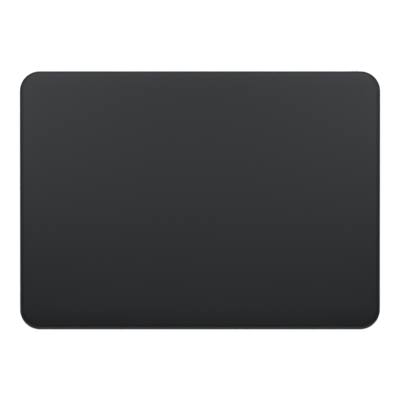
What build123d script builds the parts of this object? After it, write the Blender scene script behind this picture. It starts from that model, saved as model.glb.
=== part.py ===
from build123d import *
from math import atan, cos, sin, tan
import os

os.makedirs("parts", exist_ok=True)

# A wedge-shaped trackpad. The desk is z = 0, +X is to the user's right and +Y away from the user,
# and the origin lies under the middle of the glass. Lengths are in millimetres.

# Overall size in plan; the heights follow from what is stacked inside
width = 160.0
depth = 114.9
corner_radius = 8.9
overrun = 3.0  # how far a cut runs past what it cuts

# How the touch plate moves, and the room around it
press_travel = 0.2
press_clearance = 0.15
haptic_travel = 0.1
stack_side_clearance = 0.6
under_stack_clearance = 0.5

# Touch plate, from the glass down
glass_thickness = 1.0
glass_edge_radius = 0.4
glass_back_chamfer = 0.12
touch_adhesive_thickness = 0.1
sensor_board_thickness = 0.6
stiffener_thickness = 0.6

# Housing
housing_inset = 0.1
wall = 1.5
ride_height = 0.6
underside_radius = 2.0
rim_chamfer = 0.15
deck_thickness = 0.6

# Bottom plate
plate_inset = 3.6
plate_seam = 0.15
plate_thickness = 0.8
plate_chamfer = 0.12
plate_adhesive_thickness = 0.1

# Feet
foot_diameter = 9.0
foot_pocket_depth = 0.35
foot_pocket_clearance = 0.1
foot_edge_radius = 0.25
foot_from_side = 15.0
foot_from_front = 13.0

# Leaf springs under the corners of the touch plate
leaf_thickness = 0.4
gel_thickness = 0.3
gel_width = 6.4
gauge_length = 4.0
gauge_width = 1.6
gauge_thickness = 0.06
gauge_from_root = 1.0
root_length = 7.0
root_width = 11.0
beam_length = 10.0
beam_width = 6.0
beam_slot_length = 6.0
beam_slot_width = 1.4
tip_width = 8.0
leaf_corner_radius = 1.2
root_from_side = 9.5
front_root_from_front = 15.5
rear_root_from_rear = 13.5
boss_margin = 0.5
leaf_screw_distance = 6.6
stiffener_window_margin = 0.9

# Small machine screws
screw_diameter = 1.4
screw_head_diameter = 2.5
screw_head_height = 0.4
screw_hole_clearance = 0.06
driver_recess_diameter = 1.1
driver_recess_depth = 0.22

# Battery: one pouch cell on each side of the haptic actuator
cell_thickness = 3.5
cell_edge_radius = 0.7
cell_corner_radius = 1.6
cell_from_middle = 16.0
cell_from_wall = 8.4
cell_from_boss = 0.95
cell_headroom = 0.39
cell_window_clearance = 0.5
terrace_length = 3.0
terrace_thickness = 0.5
terrace_inset = 2.0
cell_board_thickness = 0.6
cell_board_margin = 0.4
tape_width = 6.0
tape_thickness = 0.1
tape_margin = 4.0
lead_width = 6.0
lead_from_board_end = 10.0
ribbon_thickness = 0.12

# Main board
board_from_side = 28.4
board_length = 14.0
board_thickness = 0.8
board_standoff = 0.62
board_from_wall = 2.4
board_corner_radius = 1.0
board_screw_inset = 2.2
board_boss_diameter = 3.6

# Charging port
port_headroom = 1.52
port_recess = 0.25
port_shell_width = 8.94
port_shell_height = 3.16
port_shell_wall = 0.3
port_shell_length = 8.6
port_hole_clearance = 0.08
port_chamfer = 0.25
port_block_length = 3.0
tongue_width = 6.69
tongue_thickness = 0.7
tongue_length = 4.9
contacts_per_side = 12
contact_pitch = 0.5
contact_width = 0.25
contact_length = 3.6
contact_thickness = 0.05
port_bracket_thickness = 0.4
port_bracket_length = 5.0
port_ear_length = 4.4
port_ear_clearance = 0.1
port_screw_inset = 1.8

# Power switch
slot_from_corner = 0.11
knob_width = 4.2
knob_height = 2.2
knob_recess = 0.12
knob_clearance = 0.12
knob_edge_radius = 0.12
switch_travel = 2.2
rib_spacing = 1.43
rib_width = 0.44
rib_height = 1.5
rib_past_glass = 0.2
skirt_thickness = 0.4
skirt_gap = 0.15  # in front of the skirt and behind it
skirt_margin = 0.35
skirt_pocket_depth = 0.5
skirt_pocket_clearance = 0.25
stem_width = 1.2
stem_height = 1.0
backplate_thickness = 0.8
backplate_margin = 0.9
backplate_right_margin = 0.3
marker_thickness = 0.05
marker_clearance = 0.08
switch_foot_length = 5.0
switch_foot_width = 4.4
can_width = 6.6
can_depth = 2.4
can_wall = 0.3
slider_width = 2.4
slider_clearance = 0.12
switch_ribbon_width = 1.8
ribbon_from_boss = 0.35

# Haptic actuator
bracket_from_cell = 1.3
bracket_from_cell_front = 3.0
bracket_from_board = 6.45
bracket_thickness = 0.5
bracket_corner_radius = 1.5
bracket_screw_inset = 1.6
core_from_bracket_end = 4.8
core_height = 2.4
spine_thickness = 2.0
spine_from_middle = 9.0
pole_width_share = 0.18  # of the core's length
pole_height = 1.1
poles_per_core = 3
coil_build = 0.5
coil_end_gap = 0.4
bar_thickness = 3.2
bar_overhang = 0.8
bar_clearance = 0.25
bar_bottom_clearance = 0.5

# Chips, connectors and the sensor board's ribbon
touch_chip_width = 8.0
touch_chip_thickness = 0.9
touch_chip_pitch = 30.0
touch_chips = 3
touch_chip_y = -20.0
touch_chip_window_margin = 1.6
passive_length = 1.6
passive_width = 0.8
passive_thickness = 0.6
passive_pitch = 2.4
passives = 4
shield_width = 12.0
shield_length = 6.4
shield_height = 1.6
shield_wall = 0.2
shield_place_share = 0.28  # of the main board's width, from its middle
connector_width = 7.4
connector_length = 2.4
connector_height = 0.7
flex_place_share = -0.24  # of the main board's width, from its middle
flex_width = 8.0
flex_pad_length = 4.0
flex_from_wall = 3.6
flex_window_margin = 0.8

# Antenna
antenna_length = 16.0
antenna_width = 4.2
antenna_height = 5.2
antenna_from_side = 8.5
antenna_clearance = 0.4
trace_width = 0.8
trace_thickness = 0.08
trace_pitch = 2.0
trace_fingers = 7
antenna_ribbon_width = 2.0

# Depths below the glass's face
glass_gap = press_travel + press_clearance
rim_drop = glass_thickness + glass_gap
board_drop = glass_thickness + touch_adhesive_thickness
stiffener_drop = board_drop + sensor_board_thickness
stack_drop = stiffener_drop + stiffener_thickness
leaf_top_drop = stack_drop + gel_thickness
leaf_drop = leaf_top_drop + leaf_thickness

# Heights above the desk: the front is as low as the touch plate allows, the rear clears the port
plate_top = ride_height + plate_thickness
deck_bottom = plate_top + plate_adhesive_thickness
deck_top = deck_bottom + deck_thickness
board_bottom = deck_top + board_standoff
board_top = board_bottom + board_thickness
port_height = board_top + port_shell_height / 2
port_strap_top = port_height + port_shell_height / 2 + port_bracket_thickness
front_height = deck_top + under_stack_clearance + stack_drop
rear_height = port_strap_top + port_headroom + stack_drop

# The glass's slope
tilt = atan((rear_height - front_height) / depth)
middle_height = (front_height + rear_height) / 2
away_from_glass = Vector(0, -sin(tilt), cos(tilt))
across_glass = Axis((0, 0, 0), away_from_glass)


def glass_plane(drop):
    """The plane parallel to the glass's face, at that depth below it."""
    face = Plane(origin=(0, 0, middle_height), x_dir=(1, 0, 0), z_dir=away_from_glass)
    return face.offset(-drop)


def height_at(y, drop):
    """How high that plane lies above the desk, at a distance y behind the middle."""
    return middle_height + y * tan(tilt) - drop / cos(tilt)


# Plan sizes of the housing and of what lies inside it
housing_width = width - 2 * housing_inset
housing_depth = depth - 2 * housing_inset
housing_radius = corner_radius - housing_inset
inside_width = housing_width - 2 * wall
inside_depth = housing_depth - 2 * wall
inside_radius = housing_radius - wall
stack_clearance = haptic_travel + stack_side_clearance
stack_width = inside_width - 2 * stack_clearance
stack_depth = inside_depth - 2 * stack_clearance
stack_radius = inside_radius - stack_clearance
pocket_width = housing_width - 2 * plate_inset
pocket_depth = housing_depth - 2 * plate_inset
pocket_radius = housing_radius - plate_inset
rear_wall_inside = inside_depth / 2

# Where the leaf springs stand: left and right roots, at the front and at the rear
root_x = width / 2 - root_from_side
front_root_y = front_root_from_front - depth / 2
rear_root_y = depth / 2 - rear_root_from_rear
corners = {
    "front_left": (-root_x, front_root_y),
    "front_right": (root_x, front_root_y),
    "rear_left": (-root_x, rear_root_y),
    "rear_right": (root_x, rear_root_y),
}
tip_from_root = root_length / 2 + beam_length + tip_width / 2


def root_plane(corner, drop):
    """A plane on the glass's slope over a spring's root, with its own x towards the spring's tip."""
    x, y = corners[corner]
    inward = 1 if x < 0 else -1
    face = Plane(origin=(x, y, height_at(y, 0)), x_dir=(inward, 0, 0), z_dir=away_from_glass)
    return face.offset(-drop)


# Main board and charging port
board_width = inside_width - 2 * board_from_side
board_rear_y = rear_wall_inside - board_from_wall
board_y = board_rear_y - board_length / 2
board_front_y = board_rear_y - board_length
lead_from_middle = board_width / 2 - lead_from_board_end
port_mouth_y = housing_depth / 2 - port_recess
port_rear_face = Plane.XZ.offset(-port_mouth_y)
board_screw_x = board_width / 2 - board_screw_inset
board_screw_span = board_length - 2 * board_screw_inset
port_ear_x = port_shell_width / 2 + port_ear_clearance + port_ear_length
port_screw_x = port_ear_x - port_screw_inset
port_bracket_y = board_rear_y - port_bracket_length / 2

# Battery cells: their front end stands where the wedge is just high enough for them
cell_width = inside_width / 2 - cell_from_wall - cell_from_middle
cell_x = cell_from_middle + cell_width / 2
cell_bottom = plate_top + tape_thickness
cell_room_height = cell_bottom + cell_thickness + cell_headroom
cell_front_y = (cell_room_height - height_at(0, stack_drop)) / tan(tilt)
cell_rear_y = rear_root_y - root_width / 2 - boss_margin - cell_from_boss - terrace_length
cell_length = cell_rear_y - cell_front_y
cell_y = cell_front_y + cell_length / 2
terrace_top = board_top - cell_board_thickness
sides = {"left": -1, "right": 1}

# Haptic actuator, between the two cells and in front of the main board
bracket_width = 2 * (cell_from_middle - bracket_from_cell)
bracket_front_y = cell_front_y + bracket_from_cell_front
bracket_length = board_front_y - bracket_from_board - bracket_front_y
actuator_y = bracket_front_y + bracket_length / 2
bracket_top = deck_top + bracket_thickness
bracket_screw_x = bracket_width / 2 - bracket_screw_inset
bracket_screw_span = bracket_length - 2 * bracket_screw_inset
core_length = bracket_length - 2 * core_from_bracket_end
pole_width = pole_width_share * core_length
pole_distance = (core_length - pole_width - 2 * coil_build) / (poles_per_core - 1)
pole_tip_x = bar_thickness / 2 + haptic_travel + bar_clearance
pole_z = bracket_top + core_height / 2
coil_length = spine_from_middle - pole_tip_x - 2 * coil_end_gap
coil_x = (spine_from_middle + pole_tip_x) / 2
bar_length = core_length + 2 * bar_overhang

# Power switch: its slot ends just before the wall's inner corner
slot_width = knob_width + switch_travel + 2 * knob_clearance
slot_height = knob_height + 2 * knob_clearance
slot_x = inside_width / 2 - inside_radius - slot_from_corner - slot_width / 2
knob_x = slot_x + switch_travel / 2
stem_slot_width = stem_width + switch_travel + 2 * slider_clearance
stem_slot_height = stem_height + 2 * slider_clearance
knob_face_y = housing_depth / 2 - knob_recess
skirt_front_y = rear_wall_inside + skirt_pocket_depth - skirt_gap
skirt_left_x = slot_x - slot_width / 2 - skirt_margin
skirt_right_x = slot_x + slot_width / 2 + switch_travel + skirt_margin
skirt_height = slot_height + 2 * skirt_margin
backplate_y = skirt_front_y - skirt_thickness - skirt_gap
backplate_left_x = slot_x - slot_width / 2 - backplate_margin
backplate_right_x = slot_x + slot_width / 2 + backplate_right_margin
can_height = 2 * (port_height - board_top - ribbon_thickness)
can_front_y = backplate_y - backplate_thickness
can_back_y = can_front_y - can_depth
switch_foot_x = backplate_left_x - switch_foot_length / 2
switch_foot_y = backplate_y - switch_foot_width / 2

# Touch plate
with BuildPart() as glass_top:
    with BuildSketch():
        RectangleRounded(width, depth, corner_radius)
    extrude(amount=rear_height + overrun)
    split(bisect_by=glass_plane(0), keep=Keep.BOTTOM)
    split(bisect_by=glass_plane(glass_thickness), keep=Keep.TOP)
    fillet(glass_top.faces().sort_by(across_glass)[-1].edges(), glass_edge_radius)
    chamfer(glass_top.faces().sort_by(across_glass)[0].edges(), glass_back_chamfer)
glass_top.part.label = "glass_top"
export_step(glass_top.part, "parts/glass_top.step")

with BuildPart() as touch_adhesive:
    with BuildSketch():
        RectangleRounded(stack_width, stack_depth, stack_radius)
    extrude(amount=rear_height + overrun)
    split(bisect_by=glass_plane(glass_thickness), keep=Keep.BOTTOM)
    split(bisect_by=glass_plane(board_drop), keep=Keep.TOP)
touch_adhesive.part.label = "touch_adhesive"
export_step(touch_adhesive.part, "parts/touch_adhesive.step")

with BuildPart() as sensor_board:
    with BuildSketch():
        RectangleRounded(stack_width, stack_depth, stack_radius)
    extrude(amount=rear_height + overrun)
    split(bisect_by=glass_plane(board_drop), keep=Keep.BOTTOM)
    split(bisect_by=glass_plane(stiffener_drop), keep=Keep.TOP)
sensor_board.part.label = "sensor_board"
export_step(sensor_board.part, "parts/sensor_board.step")

# Touch controllers in a row under the sensor board, each with a few passives in front of it
touch_chip_plane = glass_plane(stiffener_drop)
with BuildPart() as sensor_chips:
    with BuildSketch(touch_chip_plane):
        with Locations((0, touch_chip_y)):
            with GridLocations(touch_chip_pitch, 0, touch_chips, 1):
                Rectangle(touch_chip_width, touch_chip_width)
    extrude(amount=-touch_chip_thickness)
    with BuildSketch(touch_chip_plane):
        with Locations((0, touch_chip_y - touch_chip_width / 2 - passive_length)):
            with GridLocations(touch_chip_pitch, 0, touch_chips, 1):
                with GridLocations(passive_pitch, 0, passives, 1):
                    Rectangle(passive_width, passive_length)
    extrude(amount=-passive_thickness)
sensor_chips.part.label = "sensor_chips"
export_step(sensor_chips.part, "parts/sensor_chips.step")

flex_x = flex_place_share * board_width
flex_pad_y = rear_wall_inside - flex_from_wall - flex_pad_length / 2
flex_notch_length = 2 * (stack_depth / 2 - flex_pad_y + flex_pad_length / 2 + flex_window_margin)
root_window_length = root_length + 2 * (boss_margin + stiffener_window_margin)
root_window_width = root_width + 2 * (boss_margin + stiffener_window_margin)
chip_window_length = touch_chip_width + 2 * (passive_length + touch_chip_window_margin)
with BuildPart() as stiffener_plate:
    with BuildSketch():
        RectangleRounded(stack_width, stack_depth, stack_radius)
        with Locations(*corners.values()):
            RectangleRounded(
                root_window_length, root_window_width, leaf_corner_radius, mode=Mode.SUBTRACT
            )
        with Locations((0, touch_chip_y)):
            with GridLocations(touch_chip_pitch, 0, touch_chips, 1):
                RectangleRounded(
                    touch_chip_width + 2 * touch_chip_window_margin,
                    chip_window_length,
                    leaf_corner_radius,
                    mode=Mode.SUBTRACT,
                )
        with Locations((flex_x, stack_depth / 2)):
            RectangleRounded(
                flex_width + 2 * flex_window_margin,
                flex_notch_length,
                leaf_corner_radius,
                mode=Mode.SUBTRACT,
            )
    extrude(amount=rear_height + overrun)
    split(bisect_by=glass_plane(stiffener_drop), keep=Keep.BOTTOM)
    split(bisect_by=glass_plane(stack_drop), keep=Keep.TOP)
stiffener_plate.part.label = "stiffener_plate"
export_step(stiffener_plate.part, "parts/stiffener_plate.step")

with BuildPart() as attraction_bar:
    with BuildSketch(Plane.XY.offset(bracket_top + bar_bottom_clearance)):
        with Locations((0, actuator_y)):
            Rectangle(bar_thickness, bar_length)
    extrude(amount=rear_height)
    split(bisect_by=glass_plane(stack_drop), keep=Keep.BOTTOM)
attraction_bar.part.label = "attraction_bar"
export_step(attraction_bar.part, "parts/attraction_bar.step")

# Leaf springs, each with a gel pad on its tip
for corner in corners:
    with BuildPart() as flexure:
        with BuildSketch(root_plane(corner, leaf_drop)):
            RectangleRounded(root_length, root_width, leaf_corner_radius)
            with Locations((tip_from_root / 2, 0)):
                Rectangle(tip_from_root, beam_width)
            with Locations((tip_from_root, 0)):
                RectangleRounded(tip_width, tip_width, leaf_corner_radius)
            with Locations((root_length / 2 + beam_length / 2, 0)):
                SlotOverall(beam_slot_length, beam_slot_width, mode=Mode.SUBTRACT)
            with GridLocations(0, leaf_screw_distance, 1, 2):
                Circle(screw_diameter / 2 + screw_hole_clearance, mode=Mode.SUBTRACT)
        extrude(amount=leaf_thickness)
    flexure.part.label = f"{corner}_flexure"
    export_step(flexure.part, f"parts/{corner}_flexure.step")

    with BuildPart() as gel_pad:
        with BuildSketch(root_plane(corner, leaf_top_drop)):
            with Locations((tip_from_root, 0)):
                RectangleRounded(gel_width, gel_width, leaf_corner_radius)
        extrude(amount=gel_thickness)
    gel_pad.part.label = f"{corner}_gel_pad"
    export_step(gel_pad.part, f"parts/{corner}_gel_pad.step")

# Two foil gauges under each beam, beside its slot
with BuildPart() as strain_gauges:
    for corner in corners:
        with BuildSketch(root_plane(corner, leaf_drop)):
            with Locations((root_length / 2 + gauge_from_root + gauge_length / 2, 0)):
                with GridLocations(0, (beam_width + beam_slot_width) / 2, 1, 2):
                    Rectangle(gauge_length, gauge_width)
        extrude(amount=-gauge_thickness)
strain_gauges.part.label = "strain_gauges"
export_step(strain_gauges.part, "parts/strain_gauges.step")

# Housing: a wedge-shaped rim with a deck, open for the battery, and bosses for what is screwed down
with BuildPart() as flexure_bosses:
    with BuildSketch(Plane.XY.offset(deck_bottom)):
        with Locations(*corners.values()):
            RectangleRounded(
                root_length + 2 * boss_margin, root_width + 2 * boss_margin, leaf_corner_radius
            )
    extrude(amount=rear_height)
    split(bisect_by=glass_plane(leaf_drop), keep=Keep.BOTTOM)

board_screw_places = [
    (sx * board_screw_x, board_y + sy * board_screw_span / 2) for sx in (-1, 1) for sy in (-1, 1)
]
port_screw_places = [(sx * port_screw_x, port_bracket_y) for sx in (-1, 1)]
bracket_screw_places = [
    (sx * bracket_screw_x, actuator_y + sy * bracket_screw_span / 2)
    for sx in (-1, 1)
    for sy in (-1, 1)
]
switch_screw_place = (switch_foot_x, switch_foot_y)
cell_window_width = cell_width + 2 * cell_window_clearance
cell_window_length = cell_length + terrace_length + 2 * cell_window_clearance
cell_window_y = cell_y + terrace_length / 2
rear_face = Plane.XZ.offset(-housing_depth / 2)

with BuildPart() as housing:
    with BuildSketch(Plane.XY.offset(ride_height)):
        RectangleRounded(housing_width, housing_depth, housing_radius)
    extrude(amount=rear_height)
    split(bisect_by=glass_plane(rim_drop), keep=Keep.BOTTOM)
    fillet(housing.faces().sort_by(Axis.Z)[0].edges(), underside_radius)
    chamfer(housing.faces().sort_by(across_glass)[-1].edges(), rim_chamfer)
    with BuildSketch(Plane.XY.offset(deck_top)):
        RectangleRounded(inside_width, inside_depth, inside_radius)
    extrude(amount=rear_height, mode=Mode.SUBTRACT)
    with BuildSketch(Plane.XY.offset(deck_bottom)):
        RectangleRounded(pocket_width, pocket_depth, pocket_radius)
    extrude(amount=-plate_thickness - plate_adhesive_thickness, mode=Mode.SUBTRACT)
    add(flexure_bosses.part)
    with BuildSketch(Plane.XY.offset(deck_bottom)):
        with Locations(*board_screw_places, *port_screw_places):
            Circle(board_boss_diameter / 2)
    extrude(amount=board_bottom - deck_bottom)
    with BuildSketch(Plane.XY.offset(deck_bottom)):
        with Locations((-cell_x, cell_window_y), (cell_x, cell_window_y)):
            RectangleRounded(cell_window_width, cell_window_length, cell_corner_radius)
    extrude(amount=deck_thickness, mode=Mode.SUBTRACT)
    with BuildSketch(Plane.XY.offset(deck_bottom)):
        with Locations(*board_screw_places, *port_screw_places):
            Circle(screw_diameter / 2)
        with Locations(*bracket_screw_places, switch_screw_place):
            Circle(screw_diameter / 2)
    extrude(amount=board_bottom - deck_bottom, mode=Mode.SUBTRACT)
    for corner in corners:
        with BuildSketch(root_plane(corner, leaf_drop)):
            with GridLocations(0, leaf_screw_distance, 1, 2):
                Circle(screw_diameter / 2)
        extrude(amount=-deck_thickness, mode=Mode.SUBTRACT)
    with BuildSketch(rear_face):
        with Locations((0, port_height)):
            SlotOverall(
                port_shell_width + 2 * port_hole_clearance,
                port_shell_height + 2 * port_hole_clearance,
            )
    extrude(amount=wall, mode=Mode.SUBTRACT)
    chamfer(housing.faces().sort_by(Axis.Y)[-1].inner_wires()[0].edges(), port_chamfer)
    with BuildSketch(rear_face):
        with Locations((slot_x, port_height)):
            SlotOverall(slot_width, slot_height)
    extrude(amount=wall, mode=Mode.SUBTRACT)
    with BuildSketch(Plane.XZ.offset(-rear_wall_inside - skirt_pocket_depth)):
        with Locations(((skirt_left_x + skirt_right_x - switch_travel) / 2, port_height)):
            Rectangle(
                skirt_right_x - skirt_left_x + switch_travel + 2 * skirt_pocket_clearance,
                skirt_height + 2 * skirt_pocket_clearance,
            )
    extrude(amount=2 * wall, mode=Mode.SUBTRACT)
housing.part.label = "housing"
export_step(housing.part, "parts/housing.step")

# Bottom plate, flush in its pocket, and the sheet that glues it to the deck
plate_width = pocket_width - 2 * plate_seam
plate_depth = pocket_depth - 2 * plate_seam
plate_radius = pocket_radius - plate_seam
foot_pitch_x = width - 2 * foot_from_side
foot_pitch_y = depth - 2 * foot_from_front
with BuildPart() as bottom_plate:
    with BuildSketch(Plane.XY.offset(ride_height)):
        RectangleRounded(plate_width, plate_depth, plate_radius)
    extrude(amount=plate_thickness)
    chamfer(bottom_plate.faces().sort_by(Axis.Z)[0].edges(), plate_chamfer)
    with BuildSketch(Plane.XY.offset(ride_height)):
        with GridLocations(foot_pitch_x, foot_pitch_y, 2, 2):
            Circle(foot_diameter / 2 + foot_pocket_clearance)
    extrude(amount=foot_pocket_depth, mode=Mode.SUBTRACT)
bottom_plate.part.label = "bottom_plate"
export_step(bottom_plate.part, "parts/bottom_plate.step")

with BuildPart() as bottom_adhesive:
    with BuildSketch(Plane.XY.offset(plate_top)):
        RectangleRounded(plate_width, plate_depth, plate_radius)
        with Locations((-cell_x, cell_window_y), (cell_x, cell_window_y)):
            RectangleRounded(
                cell_window_width, cell_window_length, cell_corner_radius, mode=Mode.SUBTRACT
            )
    extrude(amount=plate_adhesive_thickness)
bottom_adhesive.part.label = "bottom_adhesive"
export_step(bottom_adhesive.part, "parts/bottom_adhesive.step")

foot_places = {
    "front_left": (-foot_pitch_x / 2, -foot_pitch_y / 2),
    "front_right": (foot_pitch_x / 2, -foot_pitch_y / 2),
    "rear_left": (-foot_pitch_x / 2, foot_pitch_y / 2),
    "rear_right": (foot_pitch_x / 2, foot_pitch_y / 2),
}
for corner, place in foot_places.items():
    with BuildPart() as foot:
        with BuildSketch():
            with Locations(place):
                Circle(foot_diameter / 2)
        extrude(amount=ride_height + foot_pocket_depth)
        fillet(foot.faces().sort_by(Axis.Z)[0].edges(), foot_edge_radius)
    foot.part.label = f"{corner}_foot"
    export_step(foot.part, f"parts/{corner}_foot.step")


# Screws: a shank that ends at the deck's underside, and a round head with a driver recess
def screw(seat, shank_length):
    """One screw whose head sits on that plane."""
    with BuildPart() as one:
        with BuildSketch(seat):
            Circle(screw_diameter / 2)
        extrude(amount=-shank_length)
        with BuildSketch(seat):
            Circle(screw_head_diameter / 2)
        extrude(amount=screw_head_height)
        with BuildSketch(seat.offset(screw_head_height)):
            RegularPolygon(driver_recess_diameter / 2, 6)
        extrude(amount=-driver_recess_depth, mode=Mode.SUBTRACT)
    return one.part


with BuildPart() as flexure_screws:
    for corner in corners:
        leaf_top = root_plane(corner, leaf_top_drop)
        for side in (-1, 1):
            seat = Plane(
                origin=leaf_top.from_local_coords((0, side * leaf_screw_distance / 2, 0)),
                x_dir=leaf_top.x_dir,
                z_dir=leaf_top.z_dir,
            )
            add(screw(seat, leaf_thickness + deck_thickness))
flexure_screws.part.label = "flexure_screws"
export_step(flexure_screws.part, "parts/flexure_screws.step")

with BuildPart() as main_board_screws:
    for x, y in board_screw_places:
        add(screw(Plane(origin=(x, y, board_top)), board_top - deck_bottom))
main_board_screws.part.label = "main_board_screws"
export_step(main_board_screws.part, "parts/main_board_screws.step")

with BuildPart() as port_screws:
    for x, y in port_screw_places:
        seat = Plane(origin=(x, y, board_top + port_bracket_thickness))
        add(screw(seat, board_top + port_bracket_thickness - deck_bottom))
port_screws.part.label = "port_screws"
export_step(port_screws.part, "parts/port_screws.step")

with BuildPart() as actuator_screws:
    for x, y in bracket_screw_places:
        add(screw(Plane(origin=(x, y, bracket_top)), bracket_top - deck_bottom))
actuator_screws.part.label = "actuator_screws"
export_step(actuator_screws.part, "parts/actuator_screws.step")

switch_foot_top = deck_top + backplate_thickness
with BuildPart() as switch_screw:
    add(screw(Plane(origin=(*switch_screw_place, switch_foot_top)), switch_foot_top - deck_bottom))
switch_screw.part.label = "switch_screw"
export_step(switch_screw.part, "parts/switch_screw.step")

# Battery: pouch cells glued to the bottom plate through the deck's windows
with BuildPart() as battery_tapes:
    with BuildSketch(Plane.XY.offset(plate_top)):
        for side in sides.values():
            with Locations((side * cell_x, cell_y)):
                with GridLocations(0, cell_length - 2 * tape_margin, 1, 2):
                    Rectangle(cell_width - 2 * tape_margin, tape_width)
    extrude(amount=tape_thickness)
battery_tapes.part.label = "battery_tapes"
export_step(battery_tapes.part, "parts/battery_tapes.step")

lead_end_y = board_front_y + connector_length
cell_board_length = terrace_length - cell_board_margin
for name, side in sides.items():
    with BuildPart() as cell:
        with BuildSketch(Plane.XY.offset(cell_bottom)):
            with Locations((side * cell_x, cell_y)):
                RectangleRounded(cell_width, cell_length, cell_corner_radius)
        extrude(amount=cell_thickness)
        fillet(cell.faces().sort_by(Axis.Z)[-1].edges(), cell_edge_radius)
        fillet(cell.faces().sort_by(Axis.Z)[0].edges(), cell_edge_radius)
        with BuildSketch(Plane.XY.offset(terrace_top)):
            with Locations((side * cell_x, cell_rear_y + terrace_length / 2)):
                Rectangle(cell_width - 2 * terrace_inset, terrace_length)
            with Locations((side * cell_x, cell_rear_y - cell_corner_radius / 2)):
                Rectangle(cell_width - 2 * terrace_inset, cell_corner_radius)
        extrude(amount=-terrace_thickness)
    cell.part.label = f"{name}_battery_cell"
    export_step(cell.part, f"parts/{name}_battery_cell.step")

    with BuildPart() as cell_board:
        with BuildSketch(Plane.XY.offset(terrace_top)):
            with Locations((side * cell_x, cell_rear_y + terrace_length - cell_board_length / 2)):
                Rectangle(cell_width - 2 * terrace_inset - 2 * cell_board_margin, cell_board_length)
        extrude(amount=cell_board_thickness)
    cell_board.part.label = f"{name}_cell_board"
    export_step(cell_board.part, f"parts/{name}_cell_board.step")

    lead_start_y = cell_rear_y + terrace_length - cell_board_length
    with BuildPart() as lead:
        with BuildSketch(Plane.XY.offset(board_top)):
            with Locations((side * lead_from_middle, (lead_start_y + lead_end_y) / 2)):
                Rectangle(lead_width, lead_end_y - lead_start_y)
        extrude(amount=ribbon_thickness)
    lead.part.label = f"{name}_battery_lead"
    export_step(lead.part, f"parts/{name}_battery_lead.step")

# Main board, its chips and its connectors
with BuildPart() as main_board:
    with BuildSketch(Plane.XY.offset(board_bottom)):
        with Locations((0, board_y)):
            RectangleRounded(board_width, board_length, board_corner_radius)
        with Locations(*board_screw_places, *port_screw_places):
            Circle(screw_diameter / 2 + screw_hole_clearance, mode=Mode.SUBTRACT)
    extrude(amount=board_thickness)
main_board.part.label = "main_board"
export_step(main_board.part, "parts/main_board.step")

# Each chip's middle, as shares of the board's width and length from its middle, and its own size
chip_place_shares = {
    "processor": (0.13, -0.1),
    "charger": (-0.13, 0.0),
    "memory": (-0.36, 0.1),
    "coil_driver": (-0.17, -0.3),
}
chip_sizes = {
    "processor": (6.0, 6.0, 0.9),
    "charger": (3.0, 3.0, 0.7),
    "memory": (5.0, 4.0, 0.8),
    "coil_driver": (4.0, 3.0, 0.8),
}
with BuildPart() as main_board_chips:
    for chip, (x_share, y_share) in chip_place_shares.items():
        chip_width, chip_length, chip_height = chip_sizes[chip]
        with BuildSketch(Plane.XY.offset(board_top)):
            with Locations((x_share * board_width, board_y + y_share * board_length)):
                Rectangle(chip_width, chip_length)
        extrude(amount=chip_height)
        with BuildSketch(Plane.XY.offset(board_top)):
            with Locations(
                (
                    x_share * board_width - chip_width / 2 - passive_length,
                    board_y + y_share * board_length,
                )
            ):
                Rectangle(passive_width, passive_length)
        extrude(amount=passive_thickness)
main_board_chips.part.label = "main_board_chips"
export_step(main_board_chips.part, "parts/main_board_chips.step")

shield_x = shield_place_share * board_width
shield_y = board_rear_y - board_screw_inset - shield_length / 2
with BuildPart() as radio_shield:
    with BuildSketch(Plane.XY.offset(board_top)):
        with Locations((shield_x, shield_y)):
            Rectangle(shield_width, shield_length)
    extrude(amount=shield_height)
    with BuildSketch(Plane.XY.offset(board_top)):
        with Locations((shield_x, shield_y)):
            Rectangle(shield_width - 2 * shield_wall, shield_length - 2 * shield_wall)
    extrude(amount=shield_height - shield_wall, mode=Mode.SUBTRACT)
radio_shield.part.label = "radio_shield"
export_step(radio_shield.part, "parts/radio_shield.step")

# Connectors: one past the end of each battery lead, and one under the sensor board's ribbon
with BuildPart() as board_connectors:
    with BuildSketch(Plane.XY.offset(board_top)):
        with Locations(
            (-lead_from_middle, lead_end_y + connector_length / 2),
            (lead_from_middle, lead_end_y + connector_length / 2),
            (flex_x, flex_pad_y),
        ):
            Rectangle(connector_width, connector_length)
    extrude(amount=connector_height)
board_connectors.part.label = "board_connectors"
export_step(board_connectors.part, "parts/board_connectors.step")

# The ribbon from the connector up to the sensor board, with a half turn at the rear
flex_low = board_top + connector_height
flex_turn_y = flex_pad_y + flex_pad_length / 2
flex_front_y = flex_pad_y - flex_pad_length / 2
with BuildPart() as sensor_flex:
    with BuildSketch(Plane.YZ.offset(flex_x - flex_width / 2)):
        with BuildLine():
            top_run = Line(
                (flex_front_y, height_at(flex_front_y, stiffener_drop)),
                (flex_turn_y, height_at(flex_turn_y, stiffener_drop)),
            )
            turn = TangentArc(top_run @ 1, (flex_turn_y, flex_low), tangent=top_run % 1)
            low_run = Line(turn @ 1, (flex_front_y, flex_low))
            offset(amount=ribbon_thickness, side=Side.RIGHT)
        make_face()
    extrude(amount=flex_width)
sensor_flex.part.label = "sensor_flex"
export_step(sensor_flex.part, "parts/sensor_flex.step")

# Charging port: shell, moulded block with its tongue, contacts and the strap that holds it down
with BuildPart() as port_shell:
    with BuildSketch(port_rear_face):
        with Locations((0, port_height)):
            SlotOverall(port_shell_width, port_shell_height)
            SlotOverall(
                port_shell_width - 2 * port_shell_wall,
                port_shell_height - 2 * port_shell_wall,
                mode=Mode.SUBTRACT,
            )
    extrude(amount=port_shell_length)
port_shell.part.label = "port_shell"
export_step(port_shell.part, "parts/port_shell.step")

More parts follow.
